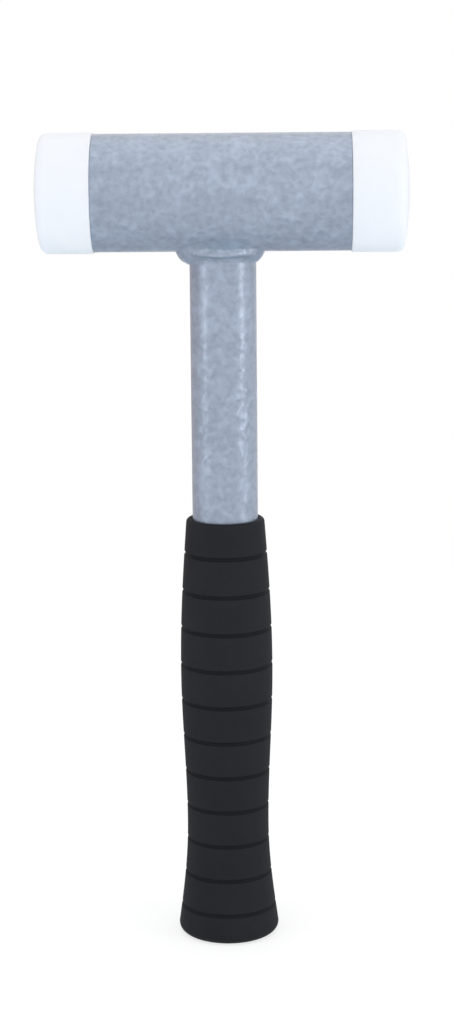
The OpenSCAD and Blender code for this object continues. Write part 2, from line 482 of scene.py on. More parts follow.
    def weld_places(self, sheet: Shader) -> tuple[Socket, Socket]:
        """Works out where a point lies from the weld.

        Args:
            sheet: Material under construction.

        Returns:
            The height above the weld, made ragged, and the distance from the surface of the handle.
        """
        parts = sheet.node("ShaderNodeSeparateXYZ", inputs={0: sheet.place}).outputs
        ragged = sheet.spread(sheet.noise(self.ragged), -self.ragged_edge, self.ragged_edge, NOISE_CORE)
        level = sheet.math("ADD", sheet.math("SUBTRACT", parts["Z"], self.weld_level), ragged)
        flat = sheet.node("ShaderNodeCombineXYZ", inputs={0: parts["X"], 1: parts["Y"]}).outputs[0]
        away = sheet.math("SUBTRACT", sheet.vector("LENGTH", {0: flat}, "Value"), self.handle_radius)
        return level, away

    def smooth_places(self, sheet: Shader, level: Socket, away: Socket) -> Socket:
        """Works out where the paint flowed out smoother.

        Args:
            sheet: Material under construction.
            level: Height above the weld.
            away: Distance from the surface of the handle.

        Returns:
            A share from 0 for the full relief to 1 for the calmest.
        """
        high = sheet.band(level, self.calm_foot, self.calm_top, away, self.calm_reach)
        drop = self.weld_level - self.grip_top
        low = sheet.spread(level, 1.0, 0.0, (self.calm_low[0] - drop, self.calm_low[1] - drop), eased=True)
        return sheet.math("MAXIMUM", high, low)

    def painted_crease_shade(self, sheet: Shader, level: Socket, away: Socket) -> Socket:
        """Works out where shade is painted into the paint's colour, in the crease and the undercut of the
        weld.

        Args:
            sheet: Material under construction.
            level: Height above the weld.
            away: Distance from the surface of the handle.

        Returns:
            A share from 0 for clean paint to 1 for the dullest.
        """
        crease = sheet.band(level, self.crease_foot, self.crease_top, away, self.crease_reach)
        undercut = sheet.band(level, self.undercut_foot, self.undercut_top, away, self.undercut_reach)
        return sheet.math("MAXIMUM", crease, sheet.math("MULTIPLY", undercut, self.undercut_share))


@dataclass(frozen=True)
class Nylon:
    """Natural white nylon turned from rod: milky, faintly clouded, with fine turning marks."""

    name: str = "natural_nylon"
    pale: Colour = (0.894, 0.913, 0.972)
    milky: Colour = (0.880, 0.900, 0.963)
    cloud: Grain = Grain(9.0 * MM, 4.0, 0.55)
    turning: Grain = Grain(0.45 * MM, 1.0)
    turning_relief: Relief = Relief(0.012 * MM, 0.5)
    pits: Grain = Grain(0.5 * MM)
    pit_relief: Relief = Relief(0.01 * MM, 0.4)
    roughness: Span = (0.36, 0.48)
    scatter: float = 0.4
    scatter_colour: Colour = (1.0, 1.05, 1.15)
    scatter_depth: float = 2.5 * MM

    def material(self) -> bpy.types.Material:
        """Builds the nylon.

        Returns:
            The material.
        """
        sheet = Shader(self.name)
        clouds = sheet.noise(self.cloud)
        along = sheet.node("ShaderNodeSeparateXYZ", inputs={0: sheet.place}).outputs["X"]
        rings = sheet.node("ShaderNodeCombineXYZ", inputs={0: along}).outputs[0]
        pits = sheet.bump(sheet.noise(self.pits), self.pit_relief)
        sheet.set(
            base_color=sheet.ramp(clouds, (self.milky, self.pale)),
            roughness=sheet.spread(clouds, *self.roughness, NOISE_CORE),
            subsurface_weight=self.scatter,
            subsurface_radius=self.scatter_colour,
            subsurface_scale=self.scatter_depth,
            normal=sheet.bump(sheet.noise(self.turning, rings), self.turning_relief, pits),
        )
        return sheet.material


@dataclass(frozen=True)
class GripRubber:
    """Matte black rubber with moulded grain, and painted shade that darkens the bottoms of the grooves."""

    name: str = "grip_rubber"
    deep: Colour = (0.0094, 0.0102, 0.0138)
    worn: Colour = (0.0142, 0.0152, 0.0192)
    cloud: Grain = Grain(22.0 * MM, 5.0, 0.6)
    grain: Grain = Grain(0.28 * MM, 3.0, 0.6)
    grain_relief: Relief = Relief(0.03 * MM, 0.45)
    speckle: Span = (0.85, 1.15)
    pebble: Grain = Grain(1.3 * MM)
    pebble_relief: Relief = Relief(0.03 * MM, 0.35)
    # Painted shade: how dark the colour is made at the bottom of a groove
    painted_groove_shade: float = 0.72
    roughness: Span = (0.62, 0.74)
    shine: float = 0.17

    def material(self) -> bpy.types.Material:
        """Builds the rubber.

        Returns:
            The material.
        """
        sheet = Shader(self.name)
        clouds = sheet.noise(self.cloud)
        grain = sheet.noise(self.grain)
        speckle = sheet.spread(grain, *self.speckle, NOISE_CORE)
        # Painted shade in the grooves, from the groove depth noted on each vertex
        grooves = sheet.node("ShaderNodeAttribute", {"attribute_name": GROOVE_MARK}).outputs["Fac"]
        shade = sheet.spread(grooves, 1.0, self.painted_groove_shade)
        pebble = sheet.bump(sheet.noise(self.pebble), self.pebble_relief)
        sheet.set(
            base_color=sheet.tint(sheet.ramp(clouds, (self.deep, self.worn)), speckle, shade),
            roughness=sheet.spread(clouds, *self.roughness, NOISE_CORE),
            specular_ior_level=self.shine,
            normal=sheet.bump(grain, self.grain_relief, pebble),
        )
        return sheet.material


@dataclass(frozen=True)
class BareSteel:
    """Unpainted steel inside the head, marked by its making and faintly stained."""

    kind: SteelKind
    marks: Grain = Grain(0.5 * MM, 4.0, 0.6)
    mark_relief: Relief = Relief(0.01 * MM, 0.4)
    stains: Grain = Grain(5.0 * MM, 4.0, 0.6)
    stain_tint: Span = (0.7, 1.3)
    smoother: float = 0.06
    rougher: float = 0.10

    def material(self) -> bpy.types.Material:
        """Builds the steel of this kind.

        Returns:
            The material.
        """
        look = self.kind.value
        sheet = Shader(f"steel_{self.kind.name.lower()}")
        drawn = sheet.node("ShaderNodeMapping", inputs={"Vector": sheet.place, "Scale": look.stretch})
        marks = sheet.noise(self.marks, drawn.outputs[0])
        stains = sheet.noise(self.stains)
        worn = sheet.math("MULTIPLY", marks, sheet.spread(stains, *self.stain_tint))
        smooth, rough = look.roughness - self.smoother, look.roughness + self.rougher
        sheet.set(
            base_color=sheet.ramp(worn, (look.dark, look.light)),
            metallic=1.0,
            roughness=sheet.spread(stains, smooth, rough, NOISE_CORE),
            normal=sheet.bump(marks, self.mark_relief),
        )
        return sheet.material


@dataclass(frozen=True)
class PlugPlastic:
    """Dark grey moulded plastic of the plug in the handle."""

    name: str = "plug_plastic"
    dark: Colour = (0.050, 0.050, 0.054)
    light: Colour = (0.075, 0.075, 0.080)
    cloud: Grain = Grain(6.0 * MM, 3.0)
    grain: Grain = Grain(0.4 * MM, 3.0)
    grain_relief: Relief = Relief(0.02 * MM, 0.4)
    roughness: Span = (0.45, 0.6)

    def material(self) -> bpy.types.Material:
        """Builds the plastic.

        Returns:
            The material.
        """
        sheet = Shader(self.name)
        grain = sheet.noise(self.grain)
        sheet.set(
            base_color=sheet.ramp(sheet.noise(self.cloud), (self.dark, self.light)),
            roughness=sheet.spread(grain, *self.roughness, NOISE_CORE),
            normal=sheet.bump(grain, self.grain_relief),
        )
        return sheet.material


class Bench:
    """Modelling steps that the sub-assemblies share."""

    @staticmethod
    def clear() -> None:
        """Deselects every object, so that the next operator acts only on what it is given."""
        bpy.ops.object.select_all(action="DESELECT")

    @staticmethod
    def take(piece: bpy.types.Object) -> None:
        """Selects one piece alone and makes it active.

        Args:
            piece: Piece to work on.
        """
        Bench.clear()
        piece.select_set(True)
        bpy.context.view_layer.objects.active = piece

    @staticmethod
    def label(piece: bpy.types.Object, name: str) -> None:
        """Names a piece and its mesh."""
        piece.name = name
        piece.data.name = name

    @staticmethod
    def revolve(name: str, outline: Outline, place: Callable[[float, float], Vector], centre: Vector,
                axis: Vector, steps: int, closed: bool = False) -> bpy.types.Object:
        """Draws an outline by extruding one vertex from point to point, then spins it about an axis.

        Args:
            name: Name of the piece.
            outline: Radius and height of each point.
            place: Turns a radius and a height into a point of the frame.
            centre: A point of the axis.
            axis: Direction of the axis.
            steps: Number of steps round the axis.
            closed: Joins the last point to the first one.

        Returns:
            The piece, at the origin and with its place in its mesh.
        """
        points = [place(r, z) for r, z in outline]
        Bench.clear()
        bpy.ops.mesh.primitive_plane_add(size=MM, location=points[0])
        piece = bpy.context.object
        Bench.label(piece, name)
        bpy.ops.object.mode_set(mode="EDIT")
        bpy.ops.mesh.select_all(action="SELECT")
        bpy.ops.mesh.merge(type="CENTER")
        for here, there in zip(points, points[1:]):
            bpy.ops.mesh.extrude_region_move(TRANSFORM_OT_translate={"value": there - here})
        if closed:
            Bench.join_ends(piece)
        bpy.ops.mesh.select_all(action="SELECT")
        bpy.ops.mesh.spin(steps=steps, angle=math.tau, center=centre, axis=axis)
        bpy.ops.mesh.select_all(action="SELECT")
        bpy.ops.mesh.remove_doubles(threshold=MERGE_GAP)
        bpy.ops.mesh.normals_make_consistent(inside=False)
        bpy.ops.object.mode_set(mode="OBJECT")
        bpy.ops.object.transform_apply(location=True, rotation=True, scale=True)
        return piece

    @staticmethod
    def revolve_upright(name: str, outline: Outline, steps: int, closed: bool = False) -> bpy.types.Object:
        """Spins an outline about the axis of the handle and returns the piece."""
        return Bench.revolve(name, outline, lambda r, z: Vector((r, 0.0, z)), Vector(), Vector((0, 0, 1)),
                             steps, closed)

    @staticmethod
    def join_ends(piece: bpy.types.Object) -> None:
        """Joins the last vertex of a drawn outline to its first one, in edit mode.

        Args:
            piece: Piece that holds the outline.
        """
        bpy.ops.mesh.select_all(action="DESELECT")
        bpy.ops.object.mode_set(mode="OBJECT")
        vertices = piece.data.vertices
        vertices[0].select = True
        vertices[len(vertices) - 1].select = True
        bpy.ops.object.mode_set(mode="EDIT")
        bpy.ops.mesh.edge_face_add()

    @staticmethod
    def smooth(piece: bpy.types.Object, angle: float = 32.0) -> None:
        """Shades a piece smooth, apart from edges sharper than an angle in degrees."""
        Bench.take(piece)
        bpy.ops.object.shade_smooth_by_angle(angle=math.radians(angle))

    @staticmethod
    def mirrored(piece: bpy.types.Object, name: str) -> bpy.types.Object:
        """Copies a piece to the other end of the head.

        Args:
            piece: Piece to copy.
            name: Name of the copy.

        Returns:
            The copy, with its own mesh.
        """
        Bench.take(piece)
        bpy.ops.object.duplicate()
        copy = bpy.context.object
        Bench.label(copy, name)
        bpy.ops.transform.resize(value=(-1, 1, 1), center_override=(0, 0, 0))
        bpy.ops.object.transform_apply(location=True, rotation=True, scale=True)
        bpy.ops.object.mode_set(mode="EDIT")
        bpy.ops.mesh.select_all(action="SELECT")
        bpy.ops.mesh.normals_make_consistent(inside=False)
        bpy.ops.object.mode_set(mode="OBJECT")
        return copy

    @staticmethod
    def cut(piece: bpy.types.Object, cutter: bpy.types.Object) -> None:
        """Takes a cutter out of a piece by an applied Boolean, and deletes the cutter.

        Args:
            piece: Piece to cut.
            cutter: Shape to take out of it.
        """
        Bench.take(piece)
        knife = piece.modifiers.new("cut", "BOOLEAN")
        knife.operation = "DIFFERENCE"
        knife.solver = "EXACT"
        knife.object = cutter
        bpy.ops.object.modifier_apply(modifier=knife.name)
        bpy.data.objects.remove(cutter)


def finish_piece(piece: bpy.types.Object, finish: bpy.types.Material, node: str,
                 body: str = HAMMER_BODY) -> None:
    """Dresses a new piece and puts it in the place of its CAD node.

    Args:
        piece: Piece to dress.
        finish: Its material.
        node: CAD node that it replaces.
        body: CAD body that it moves with.
    """
    piece.data.materials.clear()
    piece.data.materials.append(finish)
    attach(piece, body)
    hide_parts(node)
    LOG.info("%s: %d faces, stands for %s", piece.name, len(piece.data.polygons), node)


def dress_node(node: str, finish: bpy.types.Material) -> None:
    """Gives a CAD node that is shown as it is a better material.

    Args:
        node: CAD node to dress.
        finish: Its material.
    """
    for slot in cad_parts[node].material_slots:
        slot.material = finish
    LOG.info("%s: CAD shape kept, dressed with %s", node, finish.name)


@dataclass
class Head:
    """Steel tube of the head, its nylon faces, and the rings and baffles inside it."""

    paint: bpy.types.Material
    nylon: bpy.types.Material
    wire: bpy.types.Material
    plate: bpy.types.Material
    steps: int = 160
    tube_edge: float = 0.35 * MM
    tube_edge_steps: int = 5
    fit_gap: float = 0.1 * MM
    groove_steps: int = 8
    spigot_groove_angles: Span = (95.0, 265.0)
    spigot_bevel: float = 1.0 * MM
    crown_radius: float = 110.0 * MM
    crown_steps: int = 14
    face_edge: float = 3.5 * MM
    face_edge_steps: int = 10
    face_back_edge: float = 0.5 * MM
    face_back_steps: int = 4
    axis_height: float = field(init=False)
    radius: float = field(init=False)
    half_length: float = field(init=False)
    bore: float = field(init=False)
    ring_middle: float = field(init=False)
    groove: float = field(init=False)

    def __post_init__(self) -> None:
        """Reads the sizes of the head from the CAD frame."""
        low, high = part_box("head_tube")
        self.axis_height = (low.z + high.z) / 2
        self.radius = (high.y - low.y) / 2
        self.half_length = high.x
        self.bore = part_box("right_baffle")[1].y + self.fit_gap
        ring_low, ring_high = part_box("right_ring")
        self.ring_middle = (ring_low.x + ring_high.x) / 2
        self.groove = (ring_high.x - ring_low.x) / 2 + self.fit_gap

    def point(self, radius: float, along: float) -> Vector:
        """Point above the head's axis, at a radius and a distance along the head."""
        return Vector((along, 0.0, self.axis_height + radius))

    def turn(self, name: str, outline: Outline, closed: bool = False) -> bpy.types.Object:
        """Spins an outline about the axis of the head and returns the piece."""
        centre = self.point(0.0, 0.0)
        return Bench.revolve(name, outline, self.point, centre, Vector((1, 0, 0)), self.steps, closed)

    def tube_outline(self) -> Outline:
        """Works out the section of the tube.

        Returns:
            The section, with rounded outer edges, and a ring groove near each end of the bore.
        """
        end, edge = self.half_length, self.tube_edge
        rim = self.radius - edge
        return [
            (self.bore, -end),
            *arc((rim, edge - end), edge, -90, 0, self.tube_edge_steps),
            *arc((rim, end - edge), edge, 0, 90, self.tube_edge_steps),
            (self.bore, end),
            *arc((self.bore, self.ring_middle), self.groove, 90, -90, self.groove_steps),
            *arc((self.bore, -self.ring_middle), self.groove, 90, -90, self.groove_steps),
        ]

    def face_outline(self) -> Outline:
        """Works out the half section of the right face.

        Returns:
            The outline from the middle of the crown to the middle of the spigot's inner end.
        """
        low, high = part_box("right_face")
        face_radius = high.y
        spigot = self.bore - self.fit_gap
        crown_centre = high.x - self.crown_radius
        edge_radius = face_radius - self.face_edge
        edge_reach = self.crown_radius - self.face_edge
        edge_turn = math.asin(edge_radius / edge_reach)
        edge_along = crown_centre + edge_reach * math.cos(edge_turn)
        edge_start = 90 - math.degrees(edge_turn)
        back = self.face_back_edge
        return [
            (0.0, high.x),
            *arc((0.0, crown_centre), self.crown_radius, 90, edge_start, self.crown_steps)[1:],
            *arc((edge_radius, edge_along), self.face_edge, edge_start, 0, self.face_edge_steps)[1:],
            *arc((face_radius - back, self.half_length + back), back, 0, -90, self.face_back_steps),
            (spigot, self.half_length),
            *arc((self.bore, self.ring_middle), self.groove, *self.spigot_groove_angles, self.groove_steps),
            (spigot, low.x + self.spigot_bevel),
            (spigot - self.spigot_bevel, low.x),
            (0.0, low.x),
        ]

    def build(self) -> None:
        """Models the tube and both faces, and dresses the pieces inside."""
        tube = self.turn("painted_head_tube", self.tube_outline(), closed=True)
        Bench.smooth(tube)
        finish_piece(tube, self.paint, "head_tube")
        right = self.turn("nylon_face_right", self.face_outline())
        left = Bench.mirrored(right, "nylon_face_left")
        for face, side in ((right, Side.RIGHT), (left, Side.LEFT)):
            Bench.smooth(face)
            finish_piece(face, self.nylon, f"{side.value}_face")
            dress_node(f"{side.value}_ring", self.wire)
            dress_node(f"{side.value}_baffle", self.plate)


@dataclass
class Handle:
    """Steel tube of the handle, and the plug in its lower end."""

    paint: bpy.types.Material
    plastic: bpy.types.Material
    head_radius: float
    head_height: float
    steps: int = 144
    wall: float = 2.0 * MM
    foot_bevel: float = 0.3 * MM
    radius: float = field(init=False)
    foot: float = field(init=False)

    def __post_init__(self) -> None:
        """Reads the sizes of the handle from the CAD frame."""
        low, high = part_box("handle_tube")
        self.radius = high.x
        self.foot = low.z

    def build(self) -> None:
        """Models the tube and dresses the plug."""
        finish_piece(self.tube(), self.paint, "handle_tube")
        dress_node("handle_plug", self.plastic)

    def tube(self) -> bpy.types.Object:
        """Models the handle tube, cut at its top to sit on the head.

        Returns:
            The tube.
        """
        bevel, inner = self.foot_bevel, self.radius - self.wall
        tube = Bench.revolve_upright("painted_handle_tube", [
            (inner, self.head_height),
            (inner, self.foot + bevel),
            (inner + bevel, self.foot),
            (self.radius - bevel, self.foot),
            (self.radius, self.foot + bevel),
            (self.radius, self.head_height),
        ], self.steps, closed=True)
        Bench.clear()
        bpy.ops.mesh.primitive_cylinder_add(
            vertices=2 * self.steps, radius=self.head_radius, depth=4 * self.head_radius,
            location=(0, 0, self.head_height), rotation=(0, math.radians(90), 0))
        Bench.cut(tube, bpy.context.object)
        Bench.smooth(tube)
        return tube


@dataclass(frozen=True)
class WeldSection:
    """Section of the weld bead on one side of the handle."""

    head_leg: float
    toe_drop: float
    hollow: float
    bulge: float


@dataclass(frozen=True)
class Waver:
    """A wave round the handle, from a hand that isn't quite steady."""

    swing: float
    count: int
    phase: float = 0.0

    def at(self, turn: float) -> float:
        """Height of the wave at an angle round the handle."""
        return self.swing * math.sin(self.count * turn + self.phase)


@dataclass
class Weld:
    """Hand-laid weld bead round the top of the handle: uneven, rippled and painted over."""

    paint: bpy.types.Material
    handle_radius: float
    head_radius: float
    head_height: float
    steps: int = 288
    face_steps: int = 44
    crease_angle: float = 60.0
    sink: float = 0.5 * MM
    share_digits: int = 4
    roll_height: float = 1.25 * MM
    roll_rise: float = 2.1 * MM
    roll_drop: float = 1.5 * MM
    roll_lip: float = 0.70
    roll_reach: Span = (0.40, 0.80)
    roll_sway: Waver = Waver(0.25 * MM, 5, 0.3)
    roll_uneven: tuple[Waver, ...] = (Waver(0.16, 11, 2.1), Waver(0.12, 6))
    ripple_count: int = 38
    ripple: float = 0.07 * MM
    ripple_bow: float = 5.0
    ripple_lag: Waver = Waver(0.8, 3, 0.6)
    wave_count: int = 13
    wave: float = 0.16 * MM
    wave_start: float = 5.1
    wave_lag: Waver = Waver(0.9, 2, 0.4)
    left: WeldSection = WeldSection(5.3 * MM, 5.1 * MM, 1.0, 0.75 * MM)
    right: WeldSection = WeldSection(3.4 * MM, 4.3 * MM, 1.0, 0.45 * MM)
    front: WeldSection = WeldSection(2.8 * MM, 3.0 * MM, 1.7, 0.0)
    back: WeldSection = WeldSection(3.8 * MM, 3.0 * MM, 1.6, 0.0)

    def section(self, turn: float) -> WeldSection:
        """Blends the sections of the four sides.

        Args:
            turn: Angle round the handle, from the right side towards the back.

        Returns:
            The section at that angle.
        """
        along, across = math.cos(turn), math.sin(turn)
        shares = [(self.right, max(0.0, along)), (self.left, max(0.0, -along)),
                  (self.back, max(0.0, across)), (self.front, max(0.0, -across))]
        blend = {size.name: sum(getattr(side, size.name) * share ** 2 for side, share in shares)
                 for size in fields(WeldSection)}
        return WeldSection(**blend)

    def seat(self, radius: float, turn: float) -> float:
        """Height of the head's underside at a radius and a turn about the handle's axis."""
        return self.head_height - math.sqrt(self.head_radius ** 2 - (radius * math.sin(turn)) ** 2)

    def swell(self, section: WeldSection, share: float, turn: float) -> float:
        """Works out how far the face of the bead stands proud of a straight fillet.

        Args:
            section: Section of the bead at that turn.
            share: Place on the face, from 0 at the head to 1 at the handle.
            turn: Angle round the handle.

        Returns:
            The height above the straight line.
        """
        arch = math.sin(math.pi * share)
        bow = self.ripple_bow * (share - 0.5) ** 2
        ripple = self.ripple * math.cos(self.ripple_count * turn + bow + self.ripple_lag.at(turn))
        wave = self.wave * math.sin(self.wave_count * turn + self.wave_start + self.wave_lag.at(turn))
        return section.bulge * arch + arch ** 2 * (ripple + wave)

    def roll(self, turn: float, height: float) -> float:
        """Works out how far the last pass stands out, as a level roll across the front and the back.

        Args:
            turn: Angle round the handle.
            height: Height in the frame.

        Returns:
            The distance that the roll adds, away from the handle.
        """
        top = self.head_height - self.head_radius + self.roll_rise + self.roll_sway.at(turn)
        share = (top - height) / (self.roll_rise + self.roll_drop)
        if not 0.0 < share < 1.0:
            return 0.0
        if share < self.roll_lip:
            profile = smooth_step(0.0, self.roll_lip, share)
        else:
            profile = math.cos(math.pi / 2 * (share - self.roll_lip) / (1.0 - self.roll_lip))
        reach = smooth_step(*self.roll_reach, abs(math.sin(turn)))
        uneven = 1.0 + sum(waver.at(turn) for waver in self.roll_uneven)
        return self.roll_height * reach * uneven * profile

    def bend(self, flat: Vector) -> Vector:
        """Moves a point of the plain ring to its place on the finished bead.

        The shares are rounded, because the spin leaves tiny errors in points on the edge of the face.

        Args:
            flat: Point of the plain ring.

        Returns:
            The point on the saddle between the head and the handle.
        """
        turn = math.atan2(flat.y, flat.x)
        section = self.section(turn)
        tilt = math.asin((self.handle_radius + section.head_leg / 2) * math.sin(turn) / self.head_radius)
        head_leg = section.head_leg * math.cos(tilt)
        handle_leg = self.seat(self.handle_radius, turn) - self.seat(0.0, turn) + section.toe_drop
        out_share = round(flat.xy.length / MM - 1.0, self.share_digits)
        share = round(-flat.z / MM, self.share_digits)
        on_face = out_share >= 0 and share >= 0
        out = head_leg * out_share ** section.hollow if out_share >= 0 else -self.sink
        down = handle_leg * share ** section.hollow if share >= 0 else -self.sink
        if on_face:
            proud = self.swell(section, share, turn)
            slant = math.hypot(head_leg, handle_leg)
            out += proud * handle_leg / slant
            down += proud * head_leg / slant
        radius = self.handle_radius + out
        height = self.seat(radius, turn) - down
        if on_face:
            radius += self.roll(turn, height)
        return Vector((radius * math.cos(turn), radius * math.sin(turn), height))

    def ring(self) -> Outline:
        """Works out the section of the plain ring, in which a millimetre stands for a whole leg.

        Returns:
            The section: out from 1 at the handle to 2, down from 0 at the head to -1, and buried beyond.
        """
        buried = 0.5
        shares = [step / self.face_steps for step in range(self.face_steps + 1)]
        face = [(2.0 - share, -share) for share in shares]
        points = [(buried, buried), (2.0, buried), *face, (buried, -1.0)]
        return [(r * MM, z * MM) for r, z in points]

    def build(self) -> None:
        """Spins a plain ring, bends it to the saddle and raises the hand-laid unevenness."""
        bead = Bench.revolve_upright("weld_bead_rippled", self.ring(), self.steps, closed=True)
        for vertex in bead.data.vertices:
            vertex.co = self.bend(vertex.co)
        Bench.smooth(bead, self.crease_angle)
        finish_piece(bead, self.paint, "weld_bead")


@dataclass
class Grip:
    """Rubber grip: a smooth hand-shaped outline with grooves all round, closed at its foot."""

    rubber: bpy.types.Material
    tube_radius: float
    steps: int = 144
    crease_angle: float = 50.0
    fit_gap: float = 0.1 * MM
    mouth_wall: float = 2.55 * MM
    swell_wall: float = 5.3 * MM
    waist_wall: float = 3.4 * MM
    foot_wall: float = 7.15 * MM
    swell_height: float = 108.5 * MM
    waist_height: float = 45.5 * MM
    foot_edge: float = 3.4 * MM
    foot_steps: int = 10
    mouth_edge: float = 1.5 * MM
    mouth_steps: int = 7
    lip_bevel: float = 0.4 * MM
    floor: float = 6.0 * MM
    groove_setback: float = 13.5 * MM
    groove_margin: float = 11.6 * MM
    groove_taper: float = 0.041
    groove_count: int = 11
    groove_half: float = 0.8 * MM
    groove_depth: float = 0.85 * MM
    groove_ease: Span = (0.35, 1.2)
    groove_stops: tuple[float, ...] = (0.3, 0.6, 0.8, 0.95, 1.1, 1.3)
    land_step: float = 1.6 * MM
    length: float = field(init=False)

    def __post_init__(self) -> None:
        """Reads the length of the grip from the CAD frame."""
        self.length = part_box("grip")[1].z

    def radius_at(self, height: float) -> float:
        """Radius of the smooth outline: flared at the foot, slim at the waist, full at the palm swell.

        Args:
            height: Height above the foot.

        Returns:
            The radius, with no groove.
        """
        top = self.length - self.mouth_edge
        if height < self.waist_height:
            share = (self.waist_height - height) / (self.waist_height - self.foot_edge)
            flare = self.foot_wall - self.waist_wall
            wall = self.waist_wall + flare * (1 - math.cos(math.pi / 2 * share))
        elif height < self.swell_height:
            share = (height - self.waist_height) / (self.swell_height - self.waist_height)
            rise = self.swell_wall - self.waist_wall
            wall = self.waist_wall + rise * (1 - math.cos(math.pi * share)) / 2
        else:
            share = (top - height) / (top - self.swell_height)
            rise = self.swell_wall - self.mouth_wall
            wall = self.mouth_wall + rise * math.sin(math.pi / 2 * share)
        return self.tube_radius + wall

    def groove_height(self, index: int) -> float:
        """Works out the height of a groove: the spacing narrows slightly towards the foot.

        Args:
            index: Number of the groove, from 0 at the mouth.

        Returns:
            The height of its middle.
        """
        share = index / (self.groove_count - 1)
        top = self.length - self.groove_setback
        return top - (top - self.groove_margin) * (share + self.groove_taper * share * (1 - share))

    def groove_share(self, height: float) -> float:
        """Works out how deep in a groove a height of the outside lies.

        Args:
            height: Height above the foot.

        Returns:
            A share from 0 on the smooth outline to 1 at the bottom of a groove.
        """
        nearest = min(abs(height - self.groove_height(index)) for index in range(self.groove_count))
        return 1.0 - smooth_step(*self.groove_ease, nearest / self.groove_half)

    def mark_grooves(self, grip: bpy.types.Object) -> None:
        """Notes on each vertex how deep in a groove it lies, for the rubber's painted groove shade.

        Args:
            grip: The modelled grip.
        """
        notes = grip.data.attributes.new(GROOVE_MARK, "FLOAT", "POINT").data
        for vertex, note in zip(grip.data.vertices, notes):
            note.value = self.groove_share(vertex.co.z)

    def side_outline(self) -> Outline:
        """Works out the outside of the grip.

        Returns:
            The outline from the foot's edge to the mouth's edge, close-set in the grooves.
        """
        shares = (0.0, *self.groove_stops, *(-stop for stop in self.groove_stops))
        middles = [self.groove_height(index) for index in range(self.groove_count)]
        cuts = sorted(middle + share * self.groove_half for middle in middles for share in shares)
        stops = [self.foot_edge, *cuts, self.length - self.mouth_edge]
        heights = [stops[0]]
        for low, high in zip(stops, stops[1:]):
            parts = max(1, math.ceil((high - low) / self.land_step))
            heights += [low + (high - low) * part / parts for part in range(1, parts + 1)]
        return [(self.radius_at(z) - self.groove_depth * self.groove_share(z), z) for z in heights]

    def outline(self) -> Outline:
        """Works out the half section of the whole grip.

        Returns:
            The outline from the middle of the foot to the middle of the bore's floor.
        """
        foot = self.tube_radius + self.foot_wall - self.foot_edge
        mouth = self.tube_radius + self.mouth_wall - self.mouth_edge
        bore = self.tube_radius + self.fit_gap
        mouth_height = self.length - self.mouth_edge
        return [
            (0.0, 0.0),
            (foot / 2, 0.0),
            *arc((foot, self.foot_edge), self.foot_edge, -90, 0, self.foot_steps)[:-1],
            *self.side_outline(),
            *arc((mouth, mouth_height), self.mouth_edge, 0, 90, self.mouth_steps)[1:],
            (bore + self.lip_bevel, self.length),
            (bore, self.length - self.lip_bevel),
            (bore, self.floor),
            (0.0, self.floor),
        ]

    def build(self) -> None:
        """Models the grip and puts it in place."""
        grip = Bench.revolve_upright("rubber_grip", self.outline(), self.steps)
        self.mark_grooves(grip)
        Bench.smooth(grip, self.crease_angle)
        finish_piece(grip, self.rubber, "grip")


@dataclass
class Shot:
    """Loose steel balls in straight rows in the bottom of the head's bore."""

    steel: bpy.types.Material
    axis_height: float
    bore: float
    diameter: float = 6.0 * MM
    ball_detail: int = 2
    ball_gap: float = 0.15 * MM
    wall_gap: float = 0.3 * MM
    layers: int = 4
    nest_angle: float = 60.0
    rounding: float = 0.001 * MM

    def places(self) -> list[Vector]:
        """Works out where the balls lie, layer on layer up from the bottom of the bore.

        Returns:
            The middle of each ball.
        """
        low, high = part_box("shot_charge")
        pitch = self.diameter + self.ball_gap
        columns = round((high.x - low.x - self.diameter) / pitch) + 1
        reach = self.bore - self.diameter / 2 - self.wall_gap
        rows = math.ceil(reach / pitch)
        places = []
        for layer in range(self.layers):
            up = layer * pitch * math.sin(math.radians(self.nest_angle)) - reach
            for row in range(-rows, rows + 1):
                across = (row + (layer % 2) / 2) * pitch
                if math.hypot(across, up) <= reach + self.rounding:
                    places += [Vector(((column - (columns - 1) / 2) * pitch, across, self.axis_height + up))
                               for column in range(columns)]
        return places

    def build(self) -> None:
        """Models one ball, copies it to every place and joins the copies."""
        Bench.clear()
        bpy.ops.mesh.primitive_ico_sphere_add(
            subdivisions=self.ball_detail, radius=self.diameter / 2, location=(0, 0, 0))
        ball = bpy.context.object
        bpy.ops.object.shade_smooth()
        balls = []
        for place in self.places():
            copy = ball.copy()
            copy.data = ball.data.copy()
            copy.data.transform(Matrix.Translation(place))
            bpy.context.collection.objects.link(copy)
            balls.append(copy)
        bpy.data.objects.remove(ball)
        Bench.take(balls[0])
        for copy in balls:
            copy.select_set(True)
        bpy.ops.object.join()
        charge = bpy.context.object
        Bench.label(charge, "steel_shot")
        finish_piece(charge, self.steel, "shot_charge", SHOT_BODY)


@dataclass(frozen=True)
class Softbox:
    """A square studio lamp that faces a point of the hammer. Its level is the brightness of its face."""

    name: str
    place: Place
    width: float
    height: float
    level: float
    target: Place = (0.0, 0.0, 0.2)

    def build(self) -> None:
        """Adds the lamp, with the power that its level needs over its area."""
        lamp = bpy.data.lights.new(self.name, "AREA")
        lamp.shape = "RECTANGLE"
        lamp.size = self.width
        lamp.size_y = self.height
        lamp.energy = self.level * math.pi * self.width * self.height
        holder = bpy.data.objects.new(self.name, lamp)
        holder.location = self.place
        aim = Vector(self.target) - Vector(self.place)
        holder.rotation_euler = aim.to_track_quat("-Z", "Y").to_euler()
        bpy.context.scene.collection.objects.link(holder)


